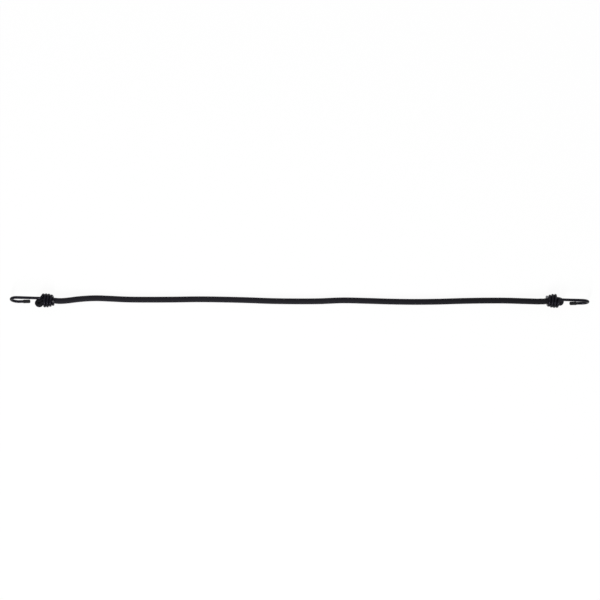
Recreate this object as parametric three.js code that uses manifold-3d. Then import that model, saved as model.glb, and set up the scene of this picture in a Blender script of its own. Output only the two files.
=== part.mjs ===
// Bungee cord: a braided elastic cord, folded back at each end and held in the tapered coil of a bent wire hook.
// Millimetres, +Z up, the floor at z = 0. X runs along the cord, and both coil axes lie on y = 0.
import * as THREE from "three";
import { mergeVertices } from "three/addons/utils/BufferGeometryUtils.js";
import Module from "manifold-3d";

// Driving dimensions: the whole object
const OVERALL_LENGTH = 900;
const FIT_GAP = 0.3;
const FLOOR_CUT = 0.5;

// Driving dimensions: the cord
const CORD_DIAMETER = 8.9;
const SHEATH_WALL = 0.55;
const THREAD_GAP = 0.3;
const THREAD_CLEARANCE = 0.27;
const CORD_SIDES = 10;
const THREAD_SIDES = 6;
const FREE_STEPS = 38;

// Driving dimensions: the cord squeezed by the coil, as shares of its own diameter
const MOUTH_SQUEEZE = 0.86;
const LEG_SQUEEZE = 0.66;
const FOLD_SQUEEZE = 0.71;
const LEG_GAP = 0.7;
const FOLD_GAP = 0.5;

// Driving dimensions: the wire hook. Its own X runs outward along the coil's axis from the coil's mouth;
// its shank runs above that axis, and shank and arm each skew off it by a small angle.
const WIRE_DIAMETER = 3.9;
const HOOK_LENGTH = 69.9;
const SHANK_SKEW = 1.8;
const ARM_SKEW = -1.3;
const ARM_SPREAD = 15.7;
const ARM_LENGTH = 18.2;
const BEND_REACH = 10.4;
const WIRE_SIDES = 8;
const BEND_STEPS = 13;

// Driving dimensions: the coil, wound from the shank at its last angle to the cut end at its first
const COIL_PITCH = 4.33;
const COIL_CLEARANCE = 0.7;
const MOUTH_CLEARANCE = 0.38;
const COIL_FIRST_ANGLE = 1460;
const COIL_LAST_ANGLE = 130;
const COIL_STEP_ANGLE = 15;
const TAPER_START_TURN = 1.6;
const TAPER_POWER = 1.35;
const LEAD_REACH = 4.3;
const LEAD_HANDLE = 2.6;
const LEAD_STEPS = 6;

// Driving dimensions: the vinyl cap on the hook's tip
const CAP_LENGTH = 10.6;
const CAP_WALL = 0.58;
const CAP_CROWN = 0.8;
const CAP_GAP = 0.15;
const CAP_ROUND = 1.4;
const CAP_SIDES = 14;

// The two ends. Bent by hand, the hooks differ: each is short of the full length by so much at the shank,
// trimmed of so much at the arm, and stands so far aside of the coil's axis and at such a roll about it.
// The cord's fold stands proud of the coil, at a tilt, and leans so far off the axis.
const LEFT_END = {
  name: "left", facing: -1, short: 0, trim: 0, aside: 0.08, roll: -24, proud: 12.8, tilt: 168, lean: -4,
};
const RIGHT_END = {
  name: "right", facing: 1, short: 2.3, trim: 1.1, aside: -0.7, roll: -16.7, proud: 10, tilt: 192, lean: -1.2,
};
const LEAN_START = -1;
const LEAN_END = 5;
const LEG_STEPS = 5;
const FOLD_STEPS = 8;

// Sizes worked out from those above: sections
const CORD_RADIUS = CORD_DIAMETER / 2;
const WIRE_RADIUS = WIRE_DIAMETER / 2;
const BORE_FLAT = (CORD_RADIUS - SHEATH_WALL) * Math.cos(Math.PI / CORD_SIDES);
const THREAD_RADIUS = (BORE_FLAT - THREAD_GAP - THREAD_CLEARANCE) / 3;
const THREAD_SPACING = 2 * THREAD_RADIUS + THREAD_GAP;
const MOUTH_CORD_RADIUS = CORD_RADIUS * MOUTH_SQUEEZE;
const LEG_HALF_WIDTH = CORD_RADIUS * LEG_SQUEEZE;
const LEG_OFFSET = LEG_HALF_WIDTH + LEG_GAP / 2;
const FOLD_HALF_WIDTH = CORD_RADIUS * FOLD_SQUEEZE;
const FOLD_RADIUS = FOLD_HALF_WIDTH + FOLD_GAP / 2;

// Sizes worked out from those above: the hook
const COIL_RADIUS = LEG_OFFSET + LEG_HALF_WIDTH + COIL_CLEARANCE + WIRE_RADIUS;
const MOUTH_RADIUS = MOUTH_CORD_RADIUS + MOUTH_CLEARANCE + WIRE_RADIUS;
const COIL_TURNS = (COIL_FIRST_ANGLE - COIL_LAST_ANGLE) / 360;
const COIL_START = WIRE_RADIUS + MOUTH_CLEARANCE;
const COIL_END = COIL_START + COIL_TURNS * COIL_PITCH;
const TAPER_END = COIL_END - TAPER_START_TURN * COIL_PITCH;
const SHANK_START = COIL_END + LEAD_REACH;
const BEND_HEIGHT = COIL_RADIUS - ARM_SPREAD / 2;
const ARM_HEIGHT = COIL_RADIUS - ARM_SPREAD;

// Sizes worked out from those above: places
const LEFT_MOUTH = HOOK_LENGTH - LEFT_END.short - OVERALL_LENGTH / 2;
const RIGHT_MOUTH = OVERALL_LENGTH / 2 - HOOK_LENGTH + RIGHT_END.short;
const AXIS_HEIGHT = COIL_RADIUS + WIRE_RADIUS - FLOOR_CUT;

// The cord's lie on the floor from mouth to mouth, chosen by eye.
const ROUTE = [
  [LEFT_MOUTH, 0, AXIS_HEIGHT],
  [-372, -0.9, 10.1],
  [-361, -0.2, 9.2],
  [-346, 1.7, 7.2],
  [-331, 3, 5.5],
  [-316, 3.5, 4.7],
  [-298, 2.9, 4.5],
  [-270, 1.6, 4.5],
  [-235, 1.3, 4.5],
  [-195, 1.5, 4.5],
  [-157, 2, 4.5],
  [-120, 1.6, 4.5],
  [-82, 0.7, 4.5],
  [-45, -0.6, 4.5],
  [-8, -1.1, 4.5],
  [30, -0.9, 4.5],
  [67, 0.5, 4.5],
  [104, -0.2, 4.5],
  [141, -1.3, 4.5],
  [180, -1.8, 4.5],
  [216, -1.4, 4.5],
  [253, -0.3, 4.5],
  [285, 0.3, 4.5],
  [301, 0.4, 4.5],
  [317, 0.4, 4.7],
  [332, 0.1, 5.5],
  [347, -0.4, 7.2],
  [361, -0.8, 9],
  [373, -1, 10.1],
  [RIGHT_MOUTH, 0, AXIS_HEIGHT],
];

const wasm = await Module();
wasm.setup();

const rad = THREE.MathUtils.degToRad;
const blend = THREE.MathUtils.lerp;
const ease = THREE.MathUtils.smoothstep;
const point = (x, y, z) => new THREE.Vector3(x, y, z);
const mouthX = (end) => (end.facing < 0 ? LEFT_MOUTH : RIGHT_MOUTH);

// A regular polygon about (x, y), with a flat facing along +X.
function polygon(sides, radius, x = 0, y = 0) {
  const corners = [];
  for (let k = 0; k < sides; k += 1) {
    const angle = (2 * Math.PI * (k + 0.5)) / sides;
    corners.push(new THREE.Vector2(x + radius * Math.cos(angle), y + radius * Math.sin(angle)));
  }
  return corners;
}

// A station is a place on a path with two section axes; side x up points along the path.
function ring(station, outline) {
  return outline.map((corner) =>
    station.at.clone().addScaledVector(station.side, corner.x).addScaledVector(station.up, corner.y)
  );
}

function pushTriangle(list, a, b, c) {
  for (const corner of [a, b, c]) {
    list.push(corner.x, corner.y, corner.z);
  }
}

function pushQuad(list, a, b, c, d) {
  pushTriangle(list, a, b, c);
  pushTriangle(list, a, c, d);
}

// The skin between each ring and the next.
function pushSkin(list, rings) {
  const sides = rings[0].length;
  for (let i = 0; i + 1 < rings.length; i += 1) {
    for (let k = 0; k < sides; k += 1) {
      const next = (k + 1) % sides;
      pushQuad(list, rings[i][k], rings[i][next], rings[i + 1][next], rings[i + 1][k]);
    }
  }
}

function fromTriangles(list) {
  const geometry = new THREE.BufferGeometry();
  geometry.setAttribute("position", new THREE.Float32BufferAttribute(list, 3));
  return geometry;
}

// A solid bar: one convex outline carried along the stations and closed at both ends.
function sweepBar(stations, outline) {
  const rings = stations.map((station) => ring(station, outline));
  const list = [];
  pushSkin(list, rings);
  const first = rings[0];
  const last = rings[rings.length - 1];
  for (let k = 1; k + 1 < outline.length; k += 1) {
    pushTriangle(list, first[0], first[k + 1], first[k]);
    pushTriangle(list, last[0], last[k], last[k + 1]);
  }
  return fromTriangles(list);
}

// A hollow tube: an outer and an inner outline with as many corners as each other, joined at both ends.
function sweepTube(stations, outer, inner) {
  const outside = stations.map((station) => ring(station, outer));
  const inside = stations.map((station) => ring(station, inner));
  const list = [];
  pushSkin(list, outside);
  pushSkin(list, inside.toReversed());
  pushSkin(list, [inside[0], outside[0]]);
  pushSkin(list, [outside[outside.length - 1], inside[inside.length - 1]]);
  return fromTriangles(list);
}

// The direction of a list of points at one of them, halfway between the steps on either side.
function tangentAt(points, i) {
  const last = points.length - 1;
  const ahead = points[Math.min(i + 1, last)].clone().sub(points[Math.min(i, last - 1)]);
  const behind = points[Math.max(i, 1)].clone().sub(points[Math.max(i - 1, 0)]);
  return ahead.normalize().add(behind.normalize()).normalize();
}

// Section axes carried along a list of points without twist, starting from one side direction.
function carriedStations(points, firstSide) {
  const stations = [];
  let side = firstSide;
  for (let i = 0; i < points.length; i += 1) {
    const along = tangentAt(points, i);
    side = side.clone().addScaledVector(along, -side.dot(along)).normalize();
    stations.push({ at: points[i], side, up: along.clone().cross(side) });
  }
  return stations;
}

// The coil's centre line: its radius narrows to the mouth over the last turns.
function coilPoint(angle) {
  const turn = (angle - COIL_LAST_ANGLE) / 360;
  const narrowed = Math.max(0, (turn - TAPER_START_TURN) / (COIL_TURNS - TAPER_START_TURN));
  const radius = blend(COIL_RADIUS, MOUTH_RADIUS, Math.pow(narrowed, TAPER_POWER));
  return point(COIL_END - turn * COIL_PITCH, radius * Math.cos(rad(angle)), radius * Math.sin(rad(angle)));
}

function coilLine() {
  const points = [];
  const steps = Math.round((COIL_FIRST_ANGLE - COIL_LAST_ANGLE) / COIL_STEP_ANGLE);
  for (let i = 0; i <= steps; i += 1) {
    points.push(coilPoint(blend(COIL_LAST_ANGLE, COIL_FIRST_ANGLE, i / steps)));
  }
  return points;
}

// Where a hook's bend begins and where its cap ends, along the coil's axis.
function bendStart(end) {
  return HOOK_LENGTH - end.short - WIRE_RADIUS - BEND_REACH;
}

function capTip(end) {
  return bendStart(end) - ARM_LENGTH + end.trim;
}

// How far to the side of the coil's axis the shank and the bend stand, and the arm, which turns off at the bend.
function shankSide(end, x) {
  return end.aside - (x - SHANK_START) * Math.tan(rad(SHANK_SKEW));
}

function armSide(end, x) {
  const bendX = bendStart(end);
  return shankSide(end, bendX) - (x - bendX) * Math.tan(rad(ARM_SKEW));
}

// The wire runs from the capped tip round the bend, along the shank and into the coil, where it ends straight.
function wireLine(end) {
  const bendX = bendStart(end);
  const wireTip = capTip(end) + CAP_CROWN + CAP_GAP;
  const onArm = (x) => point(x, armSide(end, x), ARM_HEIGHT);
  const onShank = (x, z) => point(x, shankSide(end, x), z);
  const points = [onArm(wireTip), onArm(blend(wireTip, bendX, 0.5))];
  for (let i = 0; i <= BEND_STEPS; i += 1) {
    const angle = Math.PI * (i / BEND_STEPS - 0.5);
    const x = bendX + BEND_REACH * Math.cos(angle);
    points.push(onShank(x, BEND_HEIGHT + (ARM_SPREAD / 2) * Math.sin(angle)));
  }
  points.push(onShank(blend(bendX, SHANK_START, 0.5), COIL_RADIUS));
  const coil = coilLine();
  const lead = new THREE.CubicBezierCurve3(
    onShank(SHANK_START, COIL_RADIUS),
    onShank(SHANK_START - LEAD_HANDLE, COIL_RADIUS),
    coil[0].clone().addScaledVector(tangentAt(coil, 0), -LEAD_HANDLE),
    coil[0]
  );
  points.push(...lead.getPoints(LEAD_STEPS).slice(0, -1), ...coil);
  const cutEnd = coil[coil.length - 1].clone();
  points.push(cutEnd.addScaledVector(tangentAt(coil, coil.length - 1), WIRE_DIAMETER));
  return points;
}

// The least clear gap between one turn of the coil and another.
function leastCoilGap() {
  const coil = coilLine();
  const halfTurn = Math.round(180 / COIL_STEP_ANGLE);
  let least = Infinity;
  for (let i = 0; i < coil.length; i += 1) {
    for (let j = i + halfTurn; j < coil.length; j += 1) {
      least = Math.min(least, coil[i].distanceTo(coil[j]) - WIRE_DIAMETER);
    }
  }
  return least;
}

function toSolid(geometry) {
  const bare = geometry.clone();
  bare.deleteAttribute("normal");
  bare.deleteAttribute("uv");
  const merged = mergeVertices(bare, 1e-4);
  const mesh = new wasm.Mesh({
    numProp: 3,
    vertProperties: new Float32Array(merged.getAttribute("position").array),
    triVerts: new Uint32Array(merged.index.array),
  });
  return new wasm.Manifold(mesh);
}

function fromSolid(solid) {
  const mesh = solid.getMesh();
  const geometry = new THREE.BufferGeometry();
  geometry.setAttribute("position", new THREE.BufferAttribute(mesh.vertProperties, mesh.numProp));
  geometry.setIndex(new THREE.BufferAttribute(mesh.triVerts, 1));
  return geometry;
}

// The bent wire, with the underside of its coil cut level with the floor so that the hook stands on flats.
function wireHook(end, hookGroup) {
  const stations = carriedStations(wireLine(end), point(0, 0, 1));
  const wire = sweepBar(stations, polygon(WIRE_SIDES, WIRE_RADIUS));
  const floor = new THREE.BoxGeometry(4 * HOOK_LENGTH, 4 * HOOK_LENGTH, WIRE_DIAMETER);
  floor.translate(hookGroup.getWorldPosition(point(0, 0, 0)).x, 0, -WIRE_DIAMETER / 2);
  floor.applyMatrix4(hookGroup.matrixWorld.clone().invert());
  return fromSolid(toSolid(wire).subtract(toSolid(floor)));
}

// A vinyl sleeve with a closed round end, turned about the hook's return arm.
function tipCap() {
  const bore = (WIRE_RADIUS + CAP_GAP) / Math.cos(Math.PI / CAP_SIDES);
  const outer = bore + CAP_WALL;
  const profile = new THREE.Path();
  profile.moveTo(0, 0);
  profile.lineTo(outer - CAP_ROUND, 0);
  profile.absarc(outer - CAP_ROUND, CAP_ROUND, CAP_ROUND, -Math.PI / 2, 0);
  profile.lineTo(outer, CAP_LENGTH);
  profile.lineTo(bore, CAP_LENGTH);
  profile.lineTo(bore, CAP_CROWN);
  profile.lineTo(0, CAP_CROWN);
  const cap = new THREE.LatheGeometry(profile.getPoints(4), CAP_SIDES);
  cap.rotateZ(-Math.PI / 2);
  return cap;
}

// The doubled cord at a distance from the mouth: how far a leg stands off the axis, and half its width and depth.
function legSection(x, foldX) {
  const split = ease(x, COIL_START, TAPER_END);
  const spread = ease(x, COIL_END, foldX);
  return {
    x,
    offset: blend(blend(0, LEG_OFFSET, split), FOLD_RADIUS, spread),
    width: blend(blend(MOUTH_CORD_RADIUS, LEG_HALF_WIDTH, split), FOLD_HALF_WIDTH, spread),
    depth: blend(MOUTH_CORD_RADIUS, CORD_RADIUS, split),
  };
}

// Rows from the mouth, along the first leg, round the fold and back along the tail.
function foldRows(end) {
  const foldX = COIL_END + end.proud - FOLD_RADIUS - FOLD_HALF_WIDTH;
  const rows = [legSection(FIT_GAP, foldX)];
  for (let i = 0; i <= LEG_STEPS; i += 1) {
    rows.push(legSection(blend(COIL_START, TAPER_END, i / LEG_STEPS), foldX));
  }
  const beyond = [blend(TAPER_END, COIL_END, 0.5), COIL_END, blend(COIL_END, foldX, 0.5), foldX];
  const along = beyond.map((x) => legSection(x, foldX));
  rows.push(...along);
  for (let i = 1; i < FOLD_STEPS; i += 1) {
    const angle = (Math.PI * i) / FOLD_STEPS;
    const x = foldX + FOLD_RADIUS * Math.sin(angle);
    rows.push({ ...legSection(foldX, foldX), x, offset: FOLD_RADIUS * Math.cos(angle) });
  }
  const back = [...along.toReversed(), legSection(TAPER_END, foldX)];
  rows.push(...back.map((row) => ({ ...row, offset: -row.offset })));
  return rows;
}

// Section axes across a path, turned about it to a tilt from level, and scaled to half a width and half a depth.
function cordStation(at, along, tilt, width, depth) {
  const across = point(0, -Math.sin(rad(tilt)), Math.cos(rad(tilt)));
  const side = across.cross(along).normalize();
  const up = along.clone().cross(side);
  return { at, side: side.multiplyScalar(width / CORD_RADIUS), up: up.multiplyScalar(depth / CORD_RADIUS) };
}

// Stations of a folded end, in the order that the cord runs from its left tail to its right tail.
function foldStations(end) {
  const rows = foldRows(end);
  if (end.facing < 0) {
    rows.reverse();
  }
  const points = rows.map((row) => {
    const shift = end.lean * ease(row.x, COIL_END + LEAN_START, COIL_END + LEAN_END);
    const y = row.offset * Math.cos(rad(end.tilt)) + shift;
    const z = AXIS_HEIGHT + row.offset * Math.sin(rad(end.tilt));
    return point(mouthX(end) + end.facing * row.x, y, z);
  });
  return points.map((at, i) => cordStation(at, tangentAt(points, i), end.tilt, rows[i].width, rows[i].depth));
}

function freeStations(line) {
  const stations = [];
  for (let i = 0; i <= FREE_STEPS; i += 1) {
    const share = i / FREE_STEPS;
    const tilt = blend(LEFT_END.tilt, RIGHT_END.tilt, share);
    stations.push(cordStation(line.getPointAt(share), line.getTangentAt(share), tilt, CORD_RADIUS, CORD_RADIUS));
  }
  return stations;
}

// The free cord's sheath, a hollow section carried from mouth to mouth.
function freeSheath(line, outer, inner) {
  const section = new THREE.Shape(outer);
  section.holes.push(new THREE.Path(inner));
  return new THREE.ExtrudeGeometry(section, { steps: FREE_STEPS, bevelEnabled: false, extrudePath: line });
}

const polyester = { color: 0x242329, roughness: 0.85, metalness: 0 };
const rubber = { color: 0xb9a88a, roughness: 0.9, metalness: 0 };
const coatedSteel = { color: 0x131317, roughness: 0.32, metalness: 0.1 };
const vinyl = { color: 0x1f1f23, roughness: 0.6, metalness: 0 };

function piece(name, geometry, finish) {
  const mesh = new THREE.Mesh(geometry, new THREE.MeshStandardMaterial(finish));
  mesh.name = name;
  return mesh;
}

// The cord: its sheath in three lengths, and the rubber threads, which run through all of them.
function cordGroup() {
  const group = new THREE.Group();
  const line = new THREE.CatmullRomCurve3(ROUTE.map((place) => point(...place)));
  const leftFold = foldStations(LEFT_END);
  const rightFold = foldStations(RIGHT_END);
  const whole = [...leftFold, ...freeStations(line), ...rightFold];
  const outer = polygon(CORD_SIDES, CORD_RADIUS);
  const inner = polygon(CORD_SIDES, CORD_RADIUS - SHEATH_WALL);
  group.add(piece("cord_sheath", freeSheath(line, outer, inner), polyester));
  group.add(piece("left_fold_sheath", sweepTube(leftFold, outer, inner), polyester));
  group.add(piece("right_fold_sheath", sweepTube(rightFold, outer, inner), polyester));
  group.add(piece("rubber_thread_1", sweepBar(whole, polygon(THREAD_SIDES, THREAD_RADIUS)), rubber));
  for (let k = 0; k < 6; k += 1) {
    const x = THREAD_SPACING * Math.cos((Math.PI * k) / 3);
    const y = THREAD_SPACING * Math.sin((Math.PI * k) / 3);
    const section = polygon(THREAD_SIDES, THREAD_RADIUS, x, y);
    group.add(piece(`rubber_thread_${k + 2}`, sweepBar(whole, section), rubber));
  }
  console.log(`free cord ${line.getLength().toFixed(1)} mm`);
  return group;
}

// One hook, turned to face its way and rolled about the coil's axis.
function hookGroup(end) {
  const rolled = new THREE.Group();
  rolled.position.set(mouthX(end), 0, AXIS_HEIGHT);
  rolled.rotation.x = rad(end.roll);
  const faced = new THREE.Group();
  faced.rotation.z = end.facing < 0 ? Math.PI : 0;
  rolled.add(faced);
  rolled.updateMatrixWorld(true);
  faced.add(piece(`${end.name}_hook_wire`, wireHook(end, faced), coatedSteel));
  const cap = piece(`${end.name}_tip_cap`, tipCap(), vinyl);
  cap.position.set(capTip(end), armSide(end, capTip(end)), ARM_HEIGHT);
  cap.rotation.z = -rad(ARM_SKEW);
  faced.add(cap);
  return rolled;
}

const bungee = new THREE.Group();
bungee.add(cordGroup(), hookGroup(LEFT_END), hookGroup(RIGHT_END));
console.log(`least gap between the coil's turns ${leastCoilGap().toFixed(2)} mm`);

export default bungee;
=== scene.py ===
# %% [markdown]
# # A bungee cord, dressed
# The object is a braided elastic cord about 0.9 m long. At each end the cord is folded back on itself, and a
# steel wire, coated black, is wound round the doubled cord in a coil that narrows to the mouth. The same
# wire runs on as a shank, bends round into an open hook and ends in a soft vinyl cap.
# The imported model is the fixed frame. Everything below is in metres, in the frame's own axes: X along the
# cord, Z up, and the floor at Z = 0.

# %% Load the frame
import math

import bmesh
import bpy
import numpy as np
from mathutils import Matrix, Vector


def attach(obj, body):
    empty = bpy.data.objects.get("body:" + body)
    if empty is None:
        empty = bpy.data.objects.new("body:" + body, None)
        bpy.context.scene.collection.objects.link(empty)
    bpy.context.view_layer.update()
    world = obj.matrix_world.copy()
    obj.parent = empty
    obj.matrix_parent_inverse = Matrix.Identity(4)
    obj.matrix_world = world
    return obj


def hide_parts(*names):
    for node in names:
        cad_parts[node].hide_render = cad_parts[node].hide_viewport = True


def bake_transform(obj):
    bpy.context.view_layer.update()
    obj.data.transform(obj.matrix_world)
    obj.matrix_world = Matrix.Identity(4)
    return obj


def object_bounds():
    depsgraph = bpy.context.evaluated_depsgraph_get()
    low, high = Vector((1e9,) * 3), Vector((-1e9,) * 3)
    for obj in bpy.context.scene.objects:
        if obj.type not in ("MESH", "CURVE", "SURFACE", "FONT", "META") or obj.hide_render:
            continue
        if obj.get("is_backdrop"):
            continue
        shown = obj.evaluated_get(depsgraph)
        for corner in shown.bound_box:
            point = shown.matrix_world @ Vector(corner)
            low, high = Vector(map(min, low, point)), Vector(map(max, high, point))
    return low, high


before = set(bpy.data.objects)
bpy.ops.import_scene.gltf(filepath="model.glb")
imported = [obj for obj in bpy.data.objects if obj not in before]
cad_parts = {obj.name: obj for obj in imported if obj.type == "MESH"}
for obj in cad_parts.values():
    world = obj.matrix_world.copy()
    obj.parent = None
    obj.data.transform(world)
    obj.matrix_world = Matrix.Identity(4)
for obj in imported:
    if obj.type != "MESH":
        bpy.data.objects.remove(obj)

CAD_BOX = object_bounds()
print("solid model, mm:", [round(1000 * side, 1) for side in CAD_BOX[1] - CAD_BOX[0]])

# %% [markdown]
# ## The camera
# The cord was photographed from straight above, lying across a square picture. A long lens high over the
# floor keeps both hooks free of slant. A camera with no rotation already looks down, with X to the right
# and Y to the top of the picture, so it only needs its place and the slight roll of a hand-set camera.

# %% Place the camera
LENS = 0.100
SENSOR = 0.036
PICTURE_WIDTH = 0.9326
PICTURE_MIDDLE = (0.0008, 0.001)
HOOK_HEIGHT = 0.0103
CAMERA_ROLL = 0.0009


def into_scene(name, data):
    """A new object, put into the scene."""
    made = bpy.data.objects.new(name, data)
    bpy.context.scene.collection.objects.link(made)
    return made


camera_data = bpy.data.cameras.new("overhead")
camera_data.lens = 1000 * LENS
camera_data.sensor_width = 1000 * SENSOR
camera = into_scene("overhead", camera_data)
camera.location = (*PICTURE_MIDDLE, HOOK_HEIGHT + PICTURE_WIDTH * LENS / SENSOR)
camera.rotation_euler = (0.0, 0.0, CAMERA_ROLL)
bpy.context.scene.camera = camera
bpy.context.scene.view_settings.view_transform = "Standard"
print("camera height, m:", round(camera.location.z, 3))

# %% [markdown]
# ## Sums as expressions
# Materials and geometry nodes are both drawn as boxes and lines, which are slow to read as code. A small
# class that stands for one output lets a sum be written as a sum: adding two of them puts a Math node into
# the tree. Every other kind of node comes from one method, which takes its settings first and then its
# inputs.


# %% One output of a node
class Value:
    """One output of a node, which can be worked with as a number can."""

    def __init__(self, bench, socket):
        self.bench = bench
        self.socket = socket

    def math(self, operation, *terms):
        """A Math node with these terms."""
        return self.bench.node("ShaderNodeMath", {"operation": operation}, dict(enumerate(terms)))

    def __add__(self, other):
        return self.math("ADD", self, other)

    def __radd__(self, other):
        return self.math("ADD", other, self)

    def __sub__(self, other):
        return self.math("SUBTRACT", self, other)

    def __rsub__(self, other):
        return self.math("SUBTRACT", other, self)

    def __mul__(self, other):
        return self.math("MULTIPLY", self, other)

    def __rmul__(self, other):
        return self.math("MULTIPLY", other, self)

    def __truediv__(self, other):
        return self.math("DIVIDE", self, other)

    def __mod__(self, other):
        return self.math("FLOORED_MODULO", self, other)

    def __pow__(self, other):
        return self.math("POWER", self, other)

    def __lt__(self, other):
        return self.math("LESS_THAN", self, other)

    def floor(self):
        return self.math("FLOOR", self)

    def fraction(self):
        return self.math("FRACT", self)

    def sine(self):
        return self.math("SINE", self)

    def at_least(self, other):
        return self.math("MAXIMUM", self, other)

    def at_most(self, other):
        return self.math("MINIMUM", self, other)


print("a value can be added, taken away, multiplied, divided, raised and compared")


# %% The node bench
def lay_stops(ramp, stops):
    """Sets a colour ramp's stops from (place, colour) pairs in rising order."""
    while len(ramp.elements) < len(stops):
        ramp.elements.new(1.0)
    for element, (place, colour) in zip(ramp.elements, stops):
        element.position = place
        element.color = colour


class Bench:
    """A node tree to work at."""

    def __init__(self, tree):
        self.tree = tree

    def plug(self, place, value):
        """Gives an input a number, a colour or a link."""
        if isinstance(value, Value):
            self.tree.links.new(value.socket, place)
        else:
            place.default_value = value

    def feed(self, node, inputs):
        """Gives several of a node's inputs what they need."""
        for name, value in inputs.items():
            self.plug(node.inputs[name], value)

    def node(self, kind, settings=None, inputs=None, output=0):
        """Adds a node, sets it up, feeds its inputs and gives back one of its outputs."""
        made = self.tree.nodes.new(kind)
        for name, setting in (settings or {}).items():
            if name == "stops":
                lay_stops(made.color_ramp, setting)
            else:
                setattr(made, name, setting)
        self.feed(made, inputs or {})
        return Value(self, made.outputs[output])


print("node bench ready")

# %% [markdown]
# ## Light and floor
# The picture has a plain white ground and soft light with no hard edge to its shadows. A narrow lamp on the
# near side draws the thin bright lines along the coils, a wide one hangs over the far side, and a pale world
# fills in. The floor is white paint that also glows for the camera, so that the ground comes out white and
# still keeps a trace of the object's shadow.


# %% Hang the lamps
def soft_lamp(name, place, width, length, power):
    """A lamp with a large oblong face, aimed at the middle of the cord."""
    data = bpy.data.lights.new(name, "AREA")
    data.shape = "RECTANGLE"
    data.size = width
    data.size_y = length
    data.energy = power
    lamp = into_scene(name, data)
    lamp.location = place
    lamp.rotation_euler = (-Vector(place)).to_track_quat("-Z", "Y").to_euler()


soft_lamp("front_lamp", (-0.5, -2.1, 2.1), width=0.15, length=1.6, power=76.0)
soft_lamp("overhead_lamp", (-0.3, 1.6, 2.6), width=2.4, length=2.4, power=16.0)
print("lamps:", ", ".join(lamp.name for lamp in bpy.data.lights))

# %% Light the world
PURE_WHITE = (1.0, 1.0, 1.0, 1.0)
WORLD_LIGHT = 0.42


def choose(mask, yes, no):
    """yes where the mask is 1 and no where it is 0."""
    return mask * yes + (1 - mask) * no


def seen_rays(bench):
    """1 for what the camera sees straight, in a reflection or through glass, and 0 for the light itself."""
    return (
        bench.node("ShaderNodeLightPath", output="Is Camera Ray")
        + bench.node("ShaderNodeLightPath", output="Is Glossy Ray")
        + bench.node("ShaderNodeLightPath", output="Is Transmission Ray")
    ).at_most(1.0)


world = bpy.data.worlds.new("studio")
world.use_nodes = True
world_bench = Bench(world.node_tree)
world_strength = choose(seen_rays(world_bench), 1.0, WORLD_LIGHT)
world_bench.feed(world.node_tree.nodes["Background"], {"Color": PURE_WHITE, "Strength": world_strength})
bpy.context.scene.world = world
print("world:", world.name)

# %% Lay the floor
FLOOR_HALF = 8.0
FLOOR_WHITE = (0.94, 0.94, 0.94, 1.0)
FLOOR_GLOW = 0.94


def new_material(name):
    """A material with one Principled shader, and the bench to draw the rest of it at."""
    material = bpy.data.materials.new(name)
    material.use_nodes = True
    tree = material.node_tree
    return material, Bench(tree), tree.nodes["Principled BSDF"]


floor_paint, bench, shader = new_material("floor_paint")
bench.feed(shader, {"Base Color": FLOOR_WHITE, "Roughness": 0.9, "Specular IOR Level": 0.0})
glow = bench.node("ShaderNodeEmission", None, {"Color": PURE_WHITE, "Strength": 1.0})
lit_floor = bench.node(
    "ShaderNodeMixShader",
    None,
    {0: FLOOR_GLOW * seen_rays(bench), 1: Value(bench, shader.outputs[0]), 2: glow},
)
bench.feed(floor_paint.node_tree.nodes["Material Output"], {"Surface": lit_floor})

floor_mesh = bpy.data.meshes.new("floor")
floor_corners = [(x * FLOOR_HALF, y * FLOOR_HALF, 0.0) for x, y in ((-1, -1), (1, -1), (1, 1), (-1, 1))]
floor_mesh.from_pydata(floor_corners, [], [(0, 1, 2, 3)])
floor_mesh.materials.append(floor_paint)
floor = into_scene("floor", floor_mesh)
floor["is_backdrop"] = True
print("floor, m across:", 2 * FLOOR_HALF)

# %% [markdown]
# ## Where the ends lie
# At each end the doubled cord is held in a coil of wire that rests on the floor. The size of the coils sets
# the height of the two mouths, where the free cord comes out. The solids and the dressed pieces have to lie
# in the same place, so the sizes are the same numbers as in the part's source, here in metres.
# The soft cord is freer: the legs of the doubled cord fill most of the gap that the solids keep between
# them, and the cord sags a little to one side as it leaves each mouth.

# %% The two ends
OVERALL_LENGTH = 0.9
HOOK_LENGTH = 0.0699
CORD_RADIUS = 0.00445
LEG_SQUEEZE = 0.66
LEG_GAP = 0.0007
PRESSED = 0.2
WIRE_RADIUS = 0.00195
COIL_CLEARANCE = 0.0007
FLOOR_CUT = 0.0005

# facing is the way along X that an end points. short and trim shorten a hook's shank and arm, aside moves its
# shank to one side, and roll turns it about the cord. proud is how far the fold stands out of the coil, tilt
# how its two legs lie, lean how far it leans to one side, and sag how far the free cord does. Angles are in
# degrees.
LEFT = {
    "name": "left", "facing": -1, "short": 0.0, "trim": 0.0, "aside": 0.00008,
    "roll": -24, "proud": 0.0128, "tilt": 168, "lean": -0.004, "sag": 0.0005,
}
RIGHT = {
    "name": "right", "facing": 1, "short": 0.0023, "trim": 0.0011, "aside": -0.0007,
    "roll": -16.7, "proud": 0.01, "tilt": 192, "lean": -0.0012, "sag": 0.0009,
}

LEG_HALF_WIDTH = CORD_RADIUS * LEG_SQUEEZE + PRESSED * LEG_GAP
LEG_OFFSET = LEG_HALF_WIDTH + LEG_GAP * (0.5 - 2 * PRESSED)
COIL_RADIUS = LEG_OFFSET + LEG_HALF_WIDTH + COIL_CLEARANCE + WIRE_RADIUS
AXIS_HEIGHT = COIL_RADIUS + WIRE_RADIUS - FLOOR_CUT
LEFT_MOUTH = (HOOK_LENGTH - LEFT["short"] - OVERALL_LENGTH / 2, 0.0, AXIS_HEIGHT)
RIGHT_MOUTH = (OVERALL_LENGTH / 2 - HOOK_LENGTH + RIGHT["short"], 0.0, AXIS_HEIGHT)


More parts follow.
